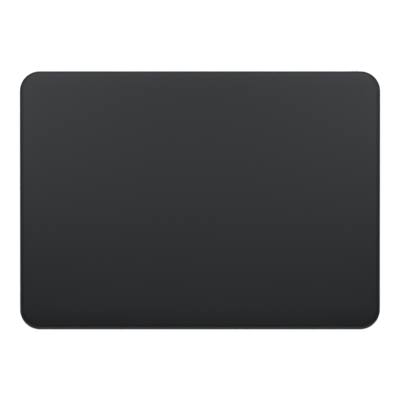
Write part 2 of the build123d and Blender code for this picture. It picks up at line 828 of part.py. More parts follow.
port_block_face = port_rear_face.offset(port_shell_length - port_block_length)
with BuildPart() as port_tongue:
    with BuildSketch(port_block_face):
        with Locations((0, port_height)):
            SlotOverall(
                port_shell_width - 2 * port_shell_wall, port_shell_height - 2 * port_shell_wall
            )
    extrude(amount=port_block_length)
    with BuildSketch(port_block_face):
        with Locations((0, port_height)):
            Rectangle(tongue_width, tongue_thickness)
    extrude(amount=-tongue_length)
port_tongue.part.label = "port_tongue"
export_step(port_tongue.part, "parts/port_tongue.step")

with BuildPart() as port_contacts:
    for side in (-1, 1):
        contact_z = port_height + side * (tongue_thickness + contact_thickness) / 2
        with BuildSketch(port_block_face):
            with Locations((0, contact_z)):
                with GridLocations(contact_pitch, 0, contacts_per_side, 1):
                    Rectangle(contact_width, contact_thickness)
        extrude(amount=-contact_length)
port_contacts.part.label = "port_contacts"
export_step(port_contacts.part, "parts/port_contacts.step")

strap_side = port_shell_width / 2 + port_ear_clearance
with BuildPart() as port_bracket:
    with BuildSketch(Plane.XZ.offset(-port_bracket_y - port_bracket_length / 2)):
        with Locations((0, (board_top + port_strap_top) / 2)):
            Rectangle(2 * (strap_side + port_bracket_thickness), port_strap_top - board_top)
        with Locations((0, (board_top + port_strap_top) / 2)):
            Rectangle(2 * strap_side, port_strap_top - board_top, mode=Mode.SUBTRACT)
        with Locations((0, port_strap_top - port_bracket_thickness / 2)):
            Rectangle(2 * strap_side, port_bracket_thickness)
        for side in (-1, 1):
            with Locations((side * (strap_side + port_ear_x) / 2, board_top + port_bracket_thickness / 2)):
                Rectangle(port_ear_x - strap_side, port_bracket_thickness)
    extrude(amount=port_bracket_length)
    with BuildSketch(Plane.XY.offset(board_top)):
        with Locations(*port_screw_places):
            Circle(screw_diameter / 2 + screw_hole_clearance)
    extrude(amount=port_bracket_thickness, mode=Mode.SUBTRACT)
port_bracket.part.label = "port_bracket"
export_step(port_bracket.part, "parts/port_bracket.step")

# Power switch: a knob in the rear wall's slot, a skirt behind it that keeps the slot covered, and a
# stem that drives the switch inside
with BuildPart() as switch_knob:
    with BuildSketch(Plane.XZ.offset(-skirt_front_y)):
        with Locations((knob_x, port_height)):
            SlotOverall(knob_width, knob_height)
    extrude(amount=skirt_front_y - knob_face_y)
    fillet(switch_knob.faces().sort_by(Axis.Y)[-1].edges(), knob_edge_radius)
    with BuildSketch(Plane.XZ.offset(-knob_face_y)):
        with Locations((knob_x, port_height)):
            with GridLocations(rib_spacing, 0, 2, 1):
                SlotOverall(rib_height, rib_width, rotation=90)
    extrude(amount=knob_face_y - depth / 2 - rib_past_glass)
    with BuildSketch(Plane.XZ.offset(-skirt_front_y)):
        with Locations(((skirt_left_x + skirt_right_x) / 2, port_height)):
            Rectangle(skirt_right_x - skirt_left_x, skirt_height)
    extrude(amount=skirt_thickness)
    with BuildSketch(Plane.XZ.offset(-skirt_front_y)):
        with Locations((knob_x, port_height)):
            Rectangle(stem_width, stem_height)
    extrude(amount=skirt_front_y - can_front_y + can_depth / 2)
switch_knob.part.label = "switch_knob"
export_step(switch_knob.part, "parts/switch_knob.step")

# The green patch on the skirt, in sight while the knob stands at its on end
with BuildPart() as switch_on_marker:
    with BuildSketch(Plane.XZ.offset(-skirt_front_y)):
        with Locations((slot_x, port_height)):
            SlotOverall(slot_width - 2 * marker_clearance, slot_height - 2 * marker_clearance)
        with Locations((knob_x, port_height)):
            SlotOverall(
                knob_width + 2 * marker_clearance,
                knob_height + 2 * marker_clearance,
                mode=Mode.SUBTRACT,
            )
        with Locations((knob_x + slot_width / 2, port_height)):
            Rectangle(slot_width, slot_height, mode=Mode.SUBTRACT)
    extrude(amount=-marker_thickness)
switch_on_marker.part.label = "switch_on_marker"
export_step(switch_on_marker.part, "parts/switch_on_marker.step")

backplate_top = port_height + slot_height / 2 + backplate_margin
with BuildPart() as switch_backplate:
    with BuildSketch(Plane.XZ.offset(-backplate_y)):
        with Locations(
            ((backplate_left_x + backplate_right_x) / 2, (deck_top + backplate_top) / 2)
        ):
            Rectangle(backplate_right_x - backplate_left_x, backplate_top - deck_top)
        with Locations((slot_x, port_height)):
            Rectangle(stem_slot_width, stem_slot_height, mode=Mode.SUBTRACT)
    extrude(amount=backplate_thickness)
    with BuildSketch(Plane.XY.offset(deck_top)):
        with Locations((switch_foot_x, switch_foot_y)):
            Rectangle(switch_foot_length, switch_foot_width)
            Circle(screw_diameter / 2 + screw_hole_clearance, mode=Mode.SUBTRACT)
    extrude(amount=backplate_thickness)
switch_backplate.part.label = "switch_backplate"
export_step(switch_backplate.part, "parts/switch_backplate.step")

can_cavity_width = slider_width + switch_travel + 2 * slider_clearance
with BuildPart() as slide_switch:
    with BuildSketch(Plane.XZ.offset(-can_front_y)):
        with Locations((slot_x, port_height)):
            Rectangle(can_width, can_height)
    extrude(amount=can_depth)
    with BuildSketch(Plane.XZ.offset(-can_front_y)):
        with Locations((slot_x, port_height)):
            Rectangle(can_cavity_width, can_height - 2 * can_wall)
    extrude(amount=can_depth - can_wall, mode=Mode.SUBTRACT)
slide_switch.part.label = "slide_switch"
export_step(slide_switch.part, "parts/slide_switch.step")

# The switch's own slider, a block with a pocket for the knob's stem
slider_height = can_height - 2 * can_wall - 2 * slider_clearance
slider_depth = can_depth - can_wall - 2 * slider_clearance
with BuildPart() as switch_slider:
    with BuildSketch(Plane.XZ.offset(slider_clearance - can_front_y)):
        with Locations((knob_x, port_height)):
            Rectangle(slider_width, slider_height)
    extrude(amount=slider_depth)
    with BuildSketch(Plane.XZ.offset(slider_clearance - can_front_y)):
        with Locations((knob_x, port_height)):
            Rectangle(stem_width, stem_height)
    extrude(amount=can_depth / 2 - slider_clearance, mode=Mode.SUBTRACT)
switch_slider.part.label = "switch_slider"
export_step(switch_slider.part, "parts/switch_slider.step")

# The switch's ribbon runs from under the can, past the leaf spring's boss, to the main board
ribbon_end_x = board_width / 2 - board_screw_inset - connector_length
ribbon_right_x = root_x - root_length / 2 - boss_margin - ribbon_from_boss
ribbon_left_x = ribbon_right_x - switch_ribbon_width
can_right_x = slot_x + can_width / 2
with BuildPart() as switch_ribbon:
    with BuildSketch(Plane.XY.offset(board_top)):
        with Locations(((ribbon_left_x + can_right_x) / 2, (can_back_y + can_front_y) / 2)):
            Rectangle(can_right_x - ribbon_left_x, can_depth)
        with Locations((ribbon_left_x + switch_ribbon_width / 2, (can_back_y + board_y) / 2)):
            Rectangle(switch_ribbon_width, can_back_y - board_y + switch_ribbon_width)
        with Locations(((ribbon_end_x + ribbon_left_x) / 2, board_y)):
            Rectangle(ribbon_left_x - ribbon_end_x, switch_ribbon_width)
    extrude(amount=ribbon_thickness)
switch_ribbon.part.label = "switch_ribbon"
export_step(switch_ribbon.part, "parts/switch_ribbon.step")

# Haptic actuator: two three-pole cores that pull the attraction bar sideways between them
with BuildPart() as actuator_bracket:
    with BuildSketch(Plane.XY.offset(deck_top)):
        with Locations((0, actuator_y)):
            RectangleRounded(bracket_width, bracket_length, bracket_corner_radius)
        with Locations(*bracket_screw_places):
            Circle(screw_diameter / 2 + screw_hole_clearance, mode=Mode.SUBTRACT)
    extrude(amount=bracket_thickness)
actuator_bracket.part.label = "actuator_bracket"
export_step(actuator_bracket.part, "parts/actuator_bracket.step")

for name, side in sides.items():
    with BuildPart() as core:
        with BuildSketch(Plane.XY.offset(bracket_top)):
            with Locations((side * (spine_from_middle + spine_thickness / 2), actuator_y)):
                Rectangle(spine_thickness, core_length)
        extrude(amount=core_height)
        with BuildSketch(Plane.XY.offset(pole_z - pole_height / 2)):
            with Locations((side * (spine_from_middle + pole_tip_x) / 2, actuator_y)):
                with GridLocations(0, pole_distance, 1, poles_per_core):
                    Rectangle(spine_from_middle - pole_tip_x, pole_width)
        extrude(amount=pole_height)
    core.part.label = f"{name}_core"
    export_step(core.part, f"parts/{name}_core.step")

    with BuildPart() as coils:
        with BuildSketch(Plane.YZ.offset(side * coil_x - coil_length / 2)):
            with Locations((actuator_y, pole_z)):
                with GridLocations(pole_distance, 0, poles_per_core, 1):
                    RectangleRounded(
                        pole_width + 2 * coil_build, pole_height + 2 * coil_build, coil_build
                    )
                    Rectangle(pole_width, pole_height, mode=Mode.SUBTRACT)
        extrude(amount=coil_length)
    coils.part.label = f"{name}_coils"
    export_step(coils.part, f"parts/{name}_coils.step")

# Antenna in the rear left-hand corner, on a plastic carrier, with its ribbon to the main board
antenna_x = antenna_length / 2 + antenna_from_side - width / 2
antenna_y = rear_wall_inside - antenna_clearance - antenna_width / 2
with BuildPart() as antenna_carrier:
    with BuildSketch(Plane.XY.offset(deck_top)):
        with Locations((antenna_x, antenna_y)):
            RectangleRounded(antenna_length, antenna_width, trace_width)
    extrude(amount=antenna_height)
antenna_carrier.part.label = "antenna_carrier"
export_step(antenna_carrier.part, "parts/antenna_carrier.step")

with BuildPart() as antenna_trace:
    with BuildSketch(Plane.XY.offset(deck_top + antenna_height)):
        with Locations((antenna_x, antenna_y)):
            with GridLocations(trace_pitch, 0, trace_fingers, 1):
                Rectangle(trace_width, antenna_width - 2 * trace_width)
        with Locations((antenna_x, antenna_y - antenna_width / 2 + trace_width)):
            Rectangle((trace_fingers - 1) * trace_pitch + trace_width, trace_width)
    extrude(amount=trace_thickness)
antenna_trace.part.label = "antenna_trace"
export_step(antenna_trace.part, "parts/antenna_trace.step")

antenna_right_x = antenna_x + antenna_length / 2
antenna_ribbon_end_x = board_screw_inset + connector_length - board_width / 2
with BuildPart() as antenna_ribbon:
    with BuildSketch(Plane.XY.offset(board_top)):
        with Locations(((antenna_right_x + antenna_ribbon_end_x) / 2, board_y)):
            Rectangle(antenna_ribbon_end_x - antenna_right_x, antenna_ribbon_width)
    extrude(amount=ribbon_thickness)
antenna_ribbon.part.label = "antenna_ribbon"
export_step(antenna_ribbon.part, "parts/antenna_ribbon.step")
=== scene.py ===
from math import cos, pi, radians, sin, sqrt

import bmesh
import bpy
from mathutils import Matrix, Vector


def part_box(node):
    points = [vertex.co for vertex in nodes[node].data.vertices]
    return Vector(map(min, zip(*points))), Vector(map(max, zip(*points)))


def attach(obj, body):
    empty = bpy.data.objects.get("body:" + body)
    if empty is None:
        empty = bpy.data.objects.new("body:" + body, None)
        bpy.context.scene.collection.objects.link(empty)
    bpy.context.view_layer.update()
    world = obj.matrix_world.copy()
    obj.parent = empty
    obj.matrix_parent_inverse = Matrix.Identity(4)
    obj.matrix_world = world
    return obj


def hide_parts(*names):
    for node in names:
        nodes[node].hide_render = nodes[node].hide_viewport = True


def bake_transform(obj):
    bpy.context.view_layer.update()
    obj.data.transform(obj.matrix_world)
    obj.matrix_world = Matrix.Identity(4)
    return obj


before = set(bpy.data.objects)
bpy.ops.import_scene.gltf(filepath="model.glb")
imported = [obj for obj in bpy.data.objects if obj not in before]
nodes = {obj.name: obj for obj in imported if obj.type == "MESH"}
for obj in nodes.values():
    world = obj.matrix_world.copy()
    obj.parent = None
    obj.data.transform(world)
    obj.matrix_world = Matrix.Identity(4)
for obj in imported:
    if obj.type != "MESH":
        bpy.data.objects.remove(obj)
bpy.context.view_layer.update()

MM = 0.001

# The trackpad's sizes, as in the part's source, in millimetres
WIDTH = 160.0
DEPTH = 114.9
FRONT_HEIGHT = 4.9
REAR_HEIGHT = 10.9
CORNER_RADIUS = 8.9
GLASS_THICKNESS = 1.0
SPRING_TOP_DROP = 2.6
GEL_TOP_DROP = 2.3
SPRING_BOTTOM_DROP = 3.0
TILT = (REAR_HEIGHT - FRONT_HEIGHT) / DEPTH
MIDDLE_HEIGHT = (FRONT_HEIGHT + REAR_HEIGHT) / 2
SLOPE_LENGTH = sqrt(1 + TILT**2)

CORNERS = ("front_left", "front_right", "rear_left", "rear_right")
SIDES = {"left": -1, "right": 1}

# Points nearer than this are one point, and edges that turn by more than this are sharp
SEAM_DISTANCE = 0.0005 * MM
SHARP_ANGLE = radians(35)


class Link:
    """An output socket of a finish's nodes, so that shader maths reads as plain arithmetic."""

    def __init__(self, finish, socket):
        self.finish = finish
        self.socket = socket

    def __add__(self, other):
        return self.finish.maths("ADD", self, other)

    def __radd__(self, other):
        return self.finish.maths("ADD", other, self)

    def __sub__(self, other):
        return self.finish.maths("SUBTRACT", self, other)

    def __rsub__(self, other):
        return self.finish.maths("SUBTRACT", other, self)

    def __mul__(self, other):
        return self.finish.maths("MULTIPLY", self, other)

    def __rmul__(self, other):
        return self.finish.maths("MULTIPLY", other, self)

    def __gt__(self, other):
        return self.finish.maths("GREATER_THAN", self, other)

    def __lt__(self, other):
        return self.finish.maths("LESS_THAN", self, other)

    def __abs__(self):
        return self.finish.maths("ABSOLUTE", self)


class Finish:
    """One material, whose nodes are added in the order that its maker thinks of them."""

    def __init__(self, name):
        self.material = bpy.data.materials.new(name)
        self.start(self.material, "Object")

    def start(self, owner, coordinates):
        owner.use_nodes = True
        self.tree = owner.node_tree
        self.tree.nodes.clear()
        self.place = self.node("TexCoord", result=coordinates)

    def end(self, shader, kind):
        output = self.tree.nodes.new("ShaderNodeOutput" + kind)
        self.tree.links.new(shader.socket, output.inputs["Surface"])

    def node(self, kind, settings=None, sockets=None, result=None):
        """Adds a node: its settings, then its sockets' values or links. Gives one output."""
        made = self.tree.nodes.new("ShaderNode" + kind)
        for setting, value in (settings or {}).items():
            setattr(made, setting, value)
        for name, value in (sockets or {}).items():
            if isinstance(name, int):
                socket = made.inputs[name]
            else:
                socket = next(s for s in made.inputs if s.name == name and s.enabled)
            if isinstance(value, Link):
                self.tree.links.new(value.socket, socket)
            else:
                socket.default_value = value
        if result is None:
            return Link(self, next(s for s in made.outputs if s.enabled))
        return Link(self, made.outputs[result])

    def maths(self, operation, first, second=0.0):
        return self.node("Math", {"operation": operation}, {0: first, 1: second})

    def along(self, axis):
        """One coordinate of the object's own frame, in metres."""
        return self.node("SeparateXYZ", None, {"Vector": self.place}, result=axis)

    def noise(self, size_mm, detail=2.0, stretch=None):
        """Cloudy variation from 0 to 1 whose lumps are about that size."""
        where = self.place
        if stretch is not None:
            where = self.node("VectorMath", {"operation": "MULTIPLY"}, {0: where, 1: stretch})
        return self.node(
            "TexNoise",
            None,
            {"Vector": where, "Scale": 1 / (size_mm * MM), "Detail": detail},
            result="Fac",
        )

    def cells(self, size_mm):
        """Distance from the middles of scattered cells of about that size."""
        return self.node(
            "TexVoronoi",
            None,
            {"Vector": self.place, "Scale": 1 / (size_mm * MM)},
            result="Distance",
        )

    def stripes(self, axis, pitch_mm):
        """A smooth wave from 0 to 1 along one axis."""
        turns = self.along(axis) * (2 * pi / (pitch_mm * MM))
        return self.maths("SINE", turns) * 0.5 + 0.5

    def mixed(self, share, first, second):
        return self.node(
            "Mix",
            {"data_type": "RGBA"},
            {"Factor": share, "A": opaque(first), "B": opaque(second)},
        )

    def eased(self, value, low, high):
        """0 below low, 1 above high, and a smooth rise between them."""
        return self.node(
            "MapRange",
            {"interpolation_type": "SMOOTHSTEP"},
            {"Value": value, "From Min": low, "From Max": high},
        )

    def edges(self, radius_mm):
        """1 where an edge of the piece turns within that radius, and 0 on its faces."""
        samples, gain = 4, 5.0
        rounded = self.node(
            "Bevel", {"samples": samples}, {"Radius": radius_mm * MM}, result="Normal"
        )
        plain = self.node("NewGeometry", result="Normal")
        likeness = self.node(
            "VectorMath",
            {"operation": "DOT_PRODUCT"},
            {0: rounded, 1: plain},
            result="Value",
        )
        return self.node("Clamp", None, {"Value": (1 - likeness) * gain})

    def bump(self, height, depth_mm):
        return self.node("Bump", None, {"Height": height, "Distance": depth_mm * MM})

    def surface(self, colour, roughness, **sockets):
        """Ends the finish in its shader. Names of sockets have underscores for spaces."""
        values = {"Base Color": opaque(colour), "Roughness": roughness}
        for name, value in sockets.items():
            values[name.replace("_", " ")] = value
        self.end(self.node("BsdfPrincipled", None, values), "Material")
        return self.material


class Surroundings(Finish):
    """The light that comes from all round, made of nodes as a finish is."""

    def __init__(self, world):
        self.start(world, "Generated")

    def lit(self, colour, strength):
        self.end(
            self.node("Background", None, {"Color": opaque(colour), "Strength": strength}),
            "World",
        )


def opaque(colour):
    """A grey level or a colour of three numbers as a full colour; a link stays as it is."""
    if isinstance(colour, Link):
        return colour
    if isinstance(colour, float):
        colour = (colour, colour, colour)
    return (*colour, 1.0)


# Finishes that show from outside


def etched_black_glass():
    """Black-backed glass with an etched satin face: faint grain, faint drift of gloss, and an
    edge that is rubbed a little smoother."""
    finish = Finish("etched_black_glass")
    grain = finish.noise(0.09, detail=1.0)
    drift = finish.noise(22.0, detail=3.0)
    specks = finish.eased(finish.cells(0.35), 0.0, 0.5)
    from_side = WIDTH / 2 * MM - abs(finish.along("X"))
    from_end = DEPTH / 2 * MM - abs(finish.along("Y"))
    nearest = finish.maths("MINIMUM", from_side, from_end)
    rubbed = 1 - finish.eased(nearest, 0.1 * MM, 0.7 * MM)
    tone = finish.mixed(drift, (0.0010, 0.0012, 0.0018), (0.0016, 0.0018, 0.0026))
    colour = finish.mixed(grain * 0.3, tone, (0.0024, 0.0027, 0.0036))
    return finish.surface(
        colour,
        0.215 + drift * 0.03 + specks * 0.012 - rubbed * 0.03,
        IOR=1.5,
        Specular_IOR_Level=0.25,
        Normal=finish.bump(grain, 0.0006),
    )


def cool_grey(level):
    return (0.987 * level, level, 1.023 * level)


def blasted_aluminium(name, grey, grain_mm, depth_mm):
    """Anodised aluminium, bead-blasted: fine pits, faint drift, brighter worn edges."""
    finish = Finish(name)
    pits = finish.noise(grain_mm)
    drift = finish.noise(26.0)
    rubbed = finish.edges(0.14) * finish.noise(1.6, detail=3.0)
    tone = finish.mixed(drift, cool_grey(0.94 * grey), cool_grey(1.06 * grey))
    pitted = finish.mixed(finish.eased(pits, 0.25, 0.6), cool_grey(0.78 * grey), tone)
    return finish.surface(
        finish.mixed(rubbed, pitted, cool_grey(1.44 * grey)),
        0.40 + 0.07 * drift + 0.06 * pits - 0.16 * rubbed,
        Metallic=1.0,
        Normal=finish.bump(pits, depth_mm),
    )


def moulded_rubber():
    """Light grey moulded rubber, matt, with dust in its pores and a paler rubbed face."""
    finish = Finish("foot_rubber")
    pores = finish.noise(0.12, detail=3.0)
    drift = finish.noise(2.4)
    dust = finish.eased(finish.noise(0.5, detail=3.0), 0.56, 0.72)
    rubbed = 1 - finish.eased(finish.along("Z"), 0.02 * MM, 0.25 * MM)
    tone = finish.mixed(drift, (0.34, 0.345, 0.35), (0.42, 0.425, 0.43))
    dusty = finish.mixed(dust * 0.5, tone, (0.56, 0.55, 0.53))
    return finish.surface(
        finish.mixed(rubbed * 0.25, dusty, 0.5),
        0.74 + 0.14 * pores - 0.08 * rubbed,
        Normal=finish.bump(pores, 0.01),
    )


def drawn_steel():
    """Stainless shell of the charging port, with fine marks along the draw."""
    finish = Finish("port_steel")
    marks = finish.noise(0.10, detail=3.0, stretch=(1.0, 0.04, 1.0))
    drift = finish.noise(1.8)
    rubbed = finish.edges(0.10) * finish.noise(0.5)
    tone = finish.mixed(marks, (0.46, 0.46, 0.47), (0.60, 0.60, 0.61))
    return finish.surface(
        finish.mixed(rubbed, tone, (0.78, 0.78, 0.79)),
        0.24 + 0.12 * marks + 0.06 * drift,
        Metallic=1.0,
        Normal=finish.bump(marks, 0.002),
    )


def plated_gold():
    """Gold plate over nickel, duller where plugs have wiped it."""
    finish = Finish("contact_gold")
    wiped = finish.noise(0.22, stretch=(1.0, 0.15, 1.0))
    return finish.surface(
        finish.mixed(wiped, (0.86, 0.60, 0.24), (0.95, 0.74, 0.38)),
        0.20 + 0.14 * wiped,
        Metallic=1.0,
        Normal=finish.bump(wiped, 0.001),
    )


def marker_paint():
    """Bright green paint, slightly mottled."""
    finish = Finish("green_paint")
    mottle = finish.noise(0.25, detail=3.0)
    return finish.surface(
        finish.mixed(mottle, (0.03, 0.42, 0.10), (0.06, 0.55, 0.15)),
        0.38 + 0.12 * mottle,
        Normal=finish.bump(mottle, 0.003),
    )


def moulded_plastic(name, low, high, roughness):
    """Moulded plastic with a fine spark-eroded grain and slightly shiny edges."""
    finish = Finish(name)
    grain = finish.noise(0.10, detail=3.0)
    shiny = finish.edges(0.10)
    return finish.surface(
        finish.mixed(finish.noise(3.0), low, high),
        roughness + 0.12 * grain - 0.12 * shiny,
        Normal=finish.bump(grain, 0.004),
    )


# Finishes of the parts inside


def solder_mask():
    """Dark green solder mask over copper tracks, with plated through-holes."""
    finish = Finish("circuit_board")
    across = finish.stripes("X", 1.3)
    along = finish.stripes("Y", 1.1)
    blocks = finish.noise(4.0, detail=1.0) > 0.52
    tracks = finish.eased(blocks * across + (1 - blocks) * along, 0.42, 0.58)
    holes = finish.cells(2.2) < 0.10
    drift = finish.noise(12.0)
    mask = finish.mixed(drift, (0.010, 0.055, 0.028), (0.016, 0.075, 0.038))
    over_tracks = finish.mixed(tracks * 0.6, mask, (0.030, 0.120, 0.060))
    return finish.surface(
        finish.mixed(holes, over_tracks, (0.62, 0.46, 0.22)),
        0.30 + 0.10 * drift,
        Metallic=holes * 0.9,
        Normal=finish.bump(tracks - 0.8 * holes, 0.02),
    )


def moulding_compound():
    """Black body of a chip, with the fine filler showing."""
    finish = Finish("chip_black")
    filler = finish.noise(0.08, detail=3.0)
    shiny = finish.edges(0.08)
    return finish.surface(
        finish.mixed(filler, (0.010, 0.010, 0.011), (0.022, 0.022, 0.024)),
        0.48 + 0.16 * filler - 0.10 * shiny,
        Normal=finish.bump(filler, 0.004),
    )


def rolled_metal(name, low, high, roughness, stretch, worn):
    """Sheet or bar metal with its rolling marks along one axis and brighter edges."""
    finish = Finish(name)
    marks = finish.noise(0.16, detail=3.0, stretch=stretch)
    drift = finish.noise(7.0)
    rubbed = finish.edges(0.10) * finish.noise(0.8)
    tone = finish.mixed(marks * 0.7 + drift * 0.3, low, high)
    return finish.surface(
        finish.mixed(rubbed, tone, worn),
        roughness + 0.14 * marks + 0.05 * drift,
        Metallic=1.0,
        Normal=finish.bump(marks, 0.003),
    )


def enamelled_wire():
    """Enamelled copper wire, scuffed where the turns cross."""
    finish = Finish("copper_wire")
    drift = finish.noise(0.7, detail=3.0)
    scuffs = finish.eased(finish.noise(0.25), 0.58, 0.75)
    tone = finish.mixed(drift, (0.52, 0.19, 0.07), (0.70, 0.29, 0.11))
    return finish.surface(
        finish.mixed(scuffs * 0.5, tone, (0.86, 0.45, 0.22)),
        0.26 + 0.16 * drift,
        Metallic=0.9,
        Coat_Weight=0.5,
        Coat_Roughness=0.12,
        Normal=finish.bump(drift, 0.004),
    )


def etched_foil():
    """Copper foil with a light brushed drift, as the antenna and the gauges have."""
    finish = Finish("copper_foil")
    brushed = finish.noise(0.12, detail=3.0, stretch=(0.1, 1.0, 1.0))
    drift = finish.noise(1.2)
    return finish.surface(
        finish.mixed(drift, (0.66, 0.33, 0.16), (0.84, 0.47, 0.26)),
        0.28 + 0.14 * brushed,
        Metallic=1.0,
        Normal=finish.bump(brushed, 0.002),
    )


def tracked_film():
    """Amber film with copper tracks showing through it."""
    finish = Finish("amber_film")
    tracks = finish.eased(finish.stripes("X", 0.5), 0.40, 0.60)
    drift = finish.noise(2.2)
    film = finish.mixed(drift, (0.30, 0.11, 0.018), (0.40, 0.16, 0.030))
    return finish.surface(
        finish.mixed(tracks * 0.7, film, (0.58, 0.29, 0.09)),
        0.26 + 0.10 * drift,
        Metallic=0.25,
        Normal=finish.bump(tracks, 0.01),
    )


def fibrous_tape():
    """White double-sided tape with paper fibres."""
    finish = Finish("white_tape")
    fibres = finish.noise(0.22, detail=4.0, stretch=(0.3, 1.0, 1.0))
    return finish.surface(
        finish.mixed(fibres, (0.72, 0.71, 0.68), (0.84, 0.83, 0.81)),
        0.62 + 0.16 * fibres,
        Normal=finish.bump(fibres, 0.01),
    )


def rippled_adhesive():
    """Thin black adhesive sheet, slightly rippled."""
    finish = Finish("black_adhesive")
    ripples = finish.noise(1.4, detail=3.0)
    return finish.surface(
        finish.mixed(finish.noise(0.2), (0.008, 0.008, 0.009), (0.018, 0.018, 0.020)),
        0.34 + 0.16 * ripples,
        Normal=finish.bump(ripples, 0.01),
    )


def pouch_laminate():
    """Aluminium laminate of a battery pouch: silky, faintly embossed and creased."""
    finish = Finish("pouch_laminate")
    creases = finish.noise(3.2, detail=4.0)
    scuffs = finish.eased(finish.noise(1.1, detail=3.0), 0.60, 0.74)
    tone = finish.mixed(creases, (0.40, 0.41, 0.43), (0.52, 0.53, 0.55))
    return finish.surface(
        finish.mixed(scuffs * 0.3, tone, (0.66, 0.67, 0.69)),
        0.34 + 0.12 * creases,
        Metallic=0.85,
        Normal=finish.bump(creases * 6 + finish.cells(0.5), 0.015),
    )


def milky_gel():
    """Soft silicone gel, hazy and slightly tacky."""
    finish = Finish("gel")
    haze = finish.noise(0.9)
    return finish.surface(
        finish.mixed(haze, (0.50, 0.60, 0.66), (0.66, 0.74, 0.78)),
        0.20 + 0.14 * haze,
        Transmission_Weight=0.35,
        IOR=1.41,
        Normal=finish.bump(haze, 0.01),
    )


def plated_screws():
    """Nickel-plated steel with fine turned rings and brighter edges."""
    finish = Finish("plated_steel")
    turned = finish.noise(0.09)
    rubbed = finish.edges(0.08) * finish.noise(0.3)
    tone = finish.mixed(turned, (0.42, 0.42, 0.43), (0.58, 0.58, 0.59))
    return finish.surface(
        finish.mixed(rubbed, tone, (0.80, 0.80, 0.81)),
        0.26 + 0.16 * turned,
        Metallic=1.0,
        Normal=finish.bump(turned, 0.002),
    )


ALONG_X = (0.03, 1.0, 1.0)
ALONG_Y = (1.0, 0.03, 1.0)
black_glass = etched_black_glass()
body_aluminium = blasted_aluminium("body_aluminium", 0.53, grain_mm=0.10, depth_mm=0.005)
# The knob is the body's aluminium made far darker: painted shade, so that its ribs show dark
# from above as ribs in shade do.
knob_aluminium_painted_shade = blasted_aluminium("knob_aluminium_painted_shade", 0.16, grain_mm=0.07, depth_mm=0.003)
foot_rubber = moulded_rubber()
port_steel = drawn_steel()
contact_gold = plated_gold()
green_paint = marker_paint()
tongue_plastic = moulded_plastic("tongue_plastic", 0.014, 0.028, 0.46)
carrier_plastic = moulded_plastic("carrier_plastic", 0.50, 0.62, 0.50)
connector_plastic = moulded_plastic(
    "connector_plastic", (0.30, 0.25, 0.17), (0.38, 0.32, 0.23), 0.50
)
board_green = solder_mask()
chip_black = moulding_compound()
rolled_aluminium = rolled_metal("rolled_aluminium", 0.58, 0.72, 0.32, ALONG_X, 0.85)
spring_steel = rolled_metal(
    "spring_steel", (0.38, 0.385, 0.40), (0.52, 0.525, 0.54), 0.30, ALONG_X, 0.85
)
soft_iron = rolled_metal("soft_iron", 0.20, 0.32, 0.40, ALONG_Y, 0.55)
tin_plate = rolled_metal("tin_plate", 0.55, 0.66, 0.28, ALONG_Y, 0.85)
copper_wire = enamelled_wire()
copper_foil = etched_foil()
amber_film = tracked_film()
white_tape = fibrous_tape()
black_adhesive = rippled_adhesive()
pouch_foil = pouch_laminate()
clear_gel = milky_gel()
plated_steel = plated_screws()

# What each solid that stays is finished in, and how far its sharp edges are broken (0: not)
kept_solids = {
    "touch_adhesive": (black_adhesive, 0.0),
    "sensor_board": (board_green, 0.05),
    "sensor_chips": (chip_black, 0.05),
    "stiffener_plate": (rolled_aluminium, 0.05),
    "attraction_bar": (soft_iron, 0.12),
    "housing": (body_aluminium, 0.0),
    "bottom_plate": (body_aluminium, 0.0),
    "bottom_adhesive": (black_adhesive, 0.0),
    "flexure_screws": (plated_steel, 0.03),
    "main_board_screws": (plated_steel, 0.03),
    "port_screws": (plated_steel, 0.03),
    "actuator_screws": (plated_steel, 0.03),
    "switch_screw": (plated_steel, 0.03),
    "battery_tapes": (white_tape, 0.0),
    "left_cell_board": (board_green, 0.05),
    "right_cell_board": (board_green, 0.05),
    "left_battery_lead": (amber_film, 0.0),
    "right_battery_lead": (amber_film, 0.0),
    "main_board": (board_green, 0.05),
    "main_board_chips": (chip_black, 0.06),
    "board_connectors": (connector_plastic, 0.10),
    "radio_shield": (tin_plate, 0.12),
    "switch_ribbon": (amber_film, 0.0),
    "antenna_ribbon": (amber_film, 0.0),
    "antenna_carrier": (carrier_plastic, 0.15),
    "antenna_trace": (copper_foil, 0.0),
    "actuator_bracket": (spring_steel, 0.08),
    "port_shell": (port_steel, 0.06),
    "port_tongue": (tongue_plastic, 0.10),
    "port_contacts": (contact_gold, 0.02),
    "port_bracket": (spring_steel, 0.06),
    "switch_backplate": (spring_steel, 0.06),
    "slide_switch": (tin_plate, 0.10),
    "switch_slider": (tongue_plastic, 0.08),
    "switch_knob": (knob_aluminium_painted_shade, 0.0),
    "switch_on_marker": (green_paint, 0.0),
    "left_core": (soft_iron, 0.10),
    "right_core": (soft_iron, 0.10),
}


def break_edges(piece, width_mm, segments):
    """Rounds the sharp edges of a piece with a modifier."""
    bevel = piece.modifiers.new("broken_edges", "BEVEL")
    bevel.width = width_mm * MM
    bevel.segments = segments
    bevel.limit_method = "ANGLE"
    bevel.angle_limit = SHARP_ANGLE


def soften(solid, width_mm):
    """Breaks the edges of a solid that stays. Its seams are closed, and its faces stay flat."""
    weld = solid.modifiers.new("closed_seams", "WELD")
    weld.merge_threshold = SEAM_DISTANCE
    break_edges(solid, width_mm, segments=2)
    solid.modifiers.new("flat_faces", "WEIGHTED_NORMAL")


for name, (finish, broken_edge) in kept_solids.items():
    solid = nodes[name]
    solid.data.materials.clear()
    solid.data.materials.append(finish)
    if broken_edge:
        soften(solid, broken_edge)


# Pieces


def height_at(y, drop):
    """Height in millimetres of the plane that lies that deep below the glass's face."""
    return MIDDLE_HEIGHT + y * TILT - drop * SLOPE_LENGTH


def box_of(node):
    """A CAD node's lowest and highest corners in millimetres."""
    low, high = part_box(node)
    return low / MM, high / MM


